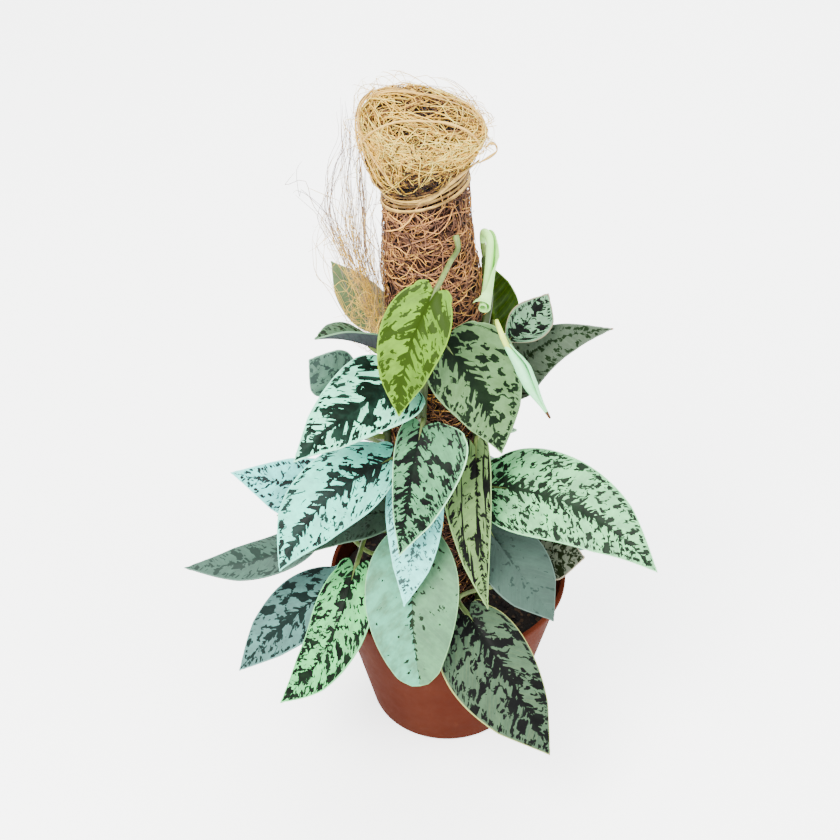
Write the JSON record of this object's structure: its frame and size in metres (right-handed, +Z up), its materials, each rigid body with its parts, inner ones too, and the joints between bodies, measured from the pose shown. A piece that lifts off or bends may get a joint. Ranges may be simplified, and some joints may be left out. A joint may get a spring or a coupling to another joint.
{
  "type": "potted silver lady satin pothos",
  "caption": "Silver-leaved satin pothos climbing a coir pole in a small terracotta-coloured nursery pot; stands on a shelf or table.",
  "frame": {"origin": "middle of the pot's flat foot, on the surface it stands on", "axes": "+Z up along the pole, -Y towards the front that the picture shows, +X to the viewer's right"},
  "size_m": [0.219, 0.1776, 0.3538],
  "materials": {
    "pot": "matte moulded plastic, terracotta brown",
    "soil": "moist dark potting mix",
    "stake": "plain sawn wood",
    "coir": "rough red-brown coconut fibre",
    "straw": "rough straw-coloured coconut fibre",
    "raffia": "dry flat raffia, slight sheen",
    "stem": "smooth green stem",
    "leaf_silver": "satin silver green with dark green flecks",
    "leaf_blue": "satin blue grey with sparse dark flecks",
    "leaf_young": "satin yellow green with green flecks",
    "leaf_plain": "smooth plain green",
    "leaf_yellow": "satin pale yellow green with green flecks",
    "leaf_pale": "smooth pale young leaf"
  },
  "bodies": {
    "root": {"pot": "pot", "soil": "soil", "pole_stake": "stake", "coir_sleeve": "coir", "coir_head": "straw", "coir_tie": "raffia", "coir_wisp": "straw", "stem_left": "stem", "stem_front": "stem", "stem_right": "stem", "stem_back_left": "stem", "stem_back_right": "stem", "leaf_top_young": "leaf_young", "leaf_upper_centre": "leaf_silver", "leaf_curled_left": "leaf_blue", "leaf_behind_left": "leaf_blue", "leaf_back_plain": "leaf_plain", "leaf_right_plain": "leaf_plain", "leaf_upper_right": "leaf_blue", "leaf_right_point": "leaf_blue", "leaf_upper_left": "leaf_silver", "leaf_centre": "leaf_silver", "leaf_narrow_yellow": "leaf_yellow", "leaf_middle_left": "leaf_silver", "leaf_centre_blue": "leaf_blue", "leaf_right_large": "leaf_silver", "leaf_folded_left": "leaf_plain", "leaf_front_plain": "leaf_blue", "leaf_left_point": "leaf_silver", "leaf_right_plain_low": "leaf_blue", "leaf_green_left": "leaf_yellow", "leaf_left_long": "leaf_blue", "leaf_right_back": "leaf_silver", "leaf_low_left": "leaf_blue", "leaf_over_pot": "leaf_silver", "leaf_far_1": "leaf_silver", "leaf_far_2": "leaf_silver", "leaf_far_3": "leaf_blue", "leaf_far_4": "leaf_silver", "leaf_far_5": "leaf_blue", "leaf_far_6": "leaf_silver", "leaf_far_7": "leaf_silver", "leaf_far_8": "leaf_blue", "leaf_far_9": "leaf_silver", "leaf_far_10": "leaf_blue", "leaf_rolled_top": "leaf_pale", "leaf_rolled_right": "leaf_pale"}
  },
  "joints": []
}
